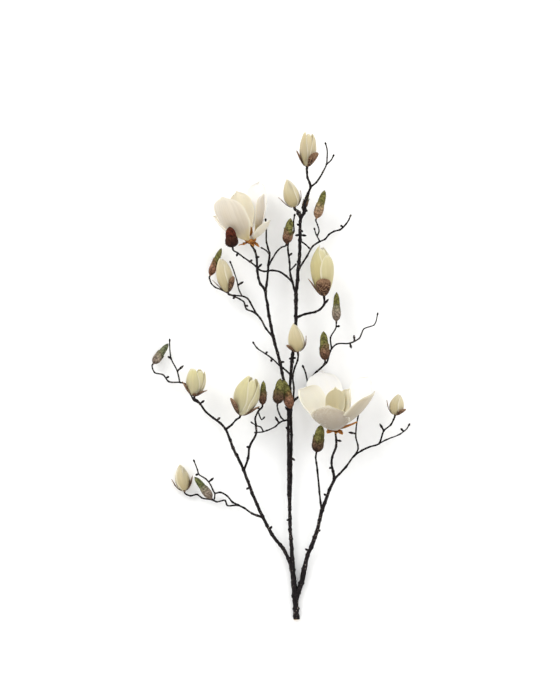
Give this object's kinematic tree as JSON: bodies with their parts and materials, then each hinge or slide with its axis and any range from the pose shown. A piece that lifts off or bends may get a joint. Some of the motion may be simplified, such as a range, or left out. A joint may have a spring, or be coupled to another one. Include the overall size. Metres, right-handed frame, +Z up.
{
  "type": "magnolia branch",
  "caption": "Cut leafless magnolia branch with dark forked wood, open and closed ivory flowers and furry winter buds, lying down.",
  "frame": {"origin": "on the surface that the branch lies on, under the middle of its length and width", "axes": "+Y up the branch from its cut end, +Z up from the surface, +X to the right seen from above"},
  "size_m": [0.4164, 0.7814, 0.1295],
  "materials": {
    "wood": "dark matt bark",
    "petals": "soft ivory petal, thin enough to let light through",
    "bracts": "dry papery brown",
    "fur": "short olive-green fur",
    "scales": "matt brown bud scale with short fur",
    "cone": "matt orange stamens and carpels"
  },
  "bodies": {
    "root": {"wood": "wood", "flower_1_petals": "petals", "flower_1_bracts": "bracts", "flower_2_petals": "petals", "flower_2_bracts": "bracts", "flower_3_petals": "petals", "flower_3_bracts": "bracts", "flower_4_petals": "petals", "flower_4_bracts": "bracts", "flower_5_petals": "petals", "flower_5_bracts": "bracts", "flower_6_petals": "petals", "flower_6_bracts": "bracts", "flower_7_petals": "petals", "flower_7_bracts": "bracts", "flower_8_petals": "petals", "flower_8_bracts": "bracts", "flower_9_petals": "petals", "flower_9_bracts": "bracts", "bloom_1_petals": "petals", "bloom_1_bracts": "bracts", "bloom_1_cone": "cone", "bloom_2_petals": "petals", "bloom_2_bracts": "bracts", "bloom_2_cone": "cone", "bud_1_fur": "scales", "bud_1_scales": "scales", "bud_2_fur": "fur", "bud_2_scales": "scales", "bud_3_fur": "fur", "bud_3_scales": "scales", "bud_4_fur": "fur", "bud_4_scales": "scales", "bud_5_fur": "fur", "bud_5_scales": "scales", "bud_6_fur": "fur", "bud_6_scales": "scales", "bud_7_fur": "fur", "bud_7_scales": "scales", "bud_8_fur": "fur", "bud_8_scales": "scales", "bud_9_fur": "fur", "bud_9_scales": "scales", "bud_10_fur": "fur", "bud_10_scales": "scales", "bud_11_fur": "fur", "bud_11_scales": "scales", "bud_12_fur": "fur", "bud_12_scales": "scales", "bud_13_fur": "fur", "bud_13_scales": "scales"}
  },
  "joints": []
}
